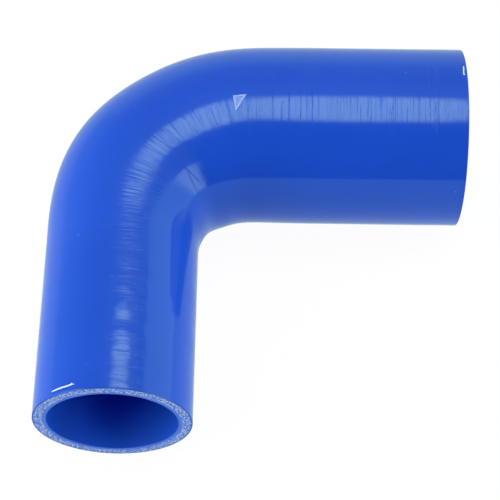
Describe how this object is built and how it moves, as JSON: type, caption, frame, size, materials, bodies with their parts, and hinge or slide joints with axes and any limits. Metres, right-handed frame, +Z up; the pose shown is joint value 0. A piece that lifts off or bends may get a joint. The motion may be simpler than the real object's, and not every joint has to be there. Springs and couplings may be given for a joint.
{
  "type": "reducing silicone elbow hose",
  "caption": "Quarter-turn elbow hose in blue silicone that steps down from a larger bore to a smaller one, with square cut ends.",
  "frame": {"origin": "on the floor, below the middle of the hose's outline seen from above, with the hose lying on its side", "axes": "+X along the large leg, towards its cut end; the small leg runs along -Y and dips to the floor; +Z up"},
  "size_m": [0.1276, 0.129, 0.0558],
  "materials": {
    "silicone": "smooth blue silicone with a soft shine and faint wrap lines, with a pale fabric ply showing in the cut ends"
  },
  "bodies": {
    "root": {"elbow_hose": "silicone"}
  },
  "joints": []
}
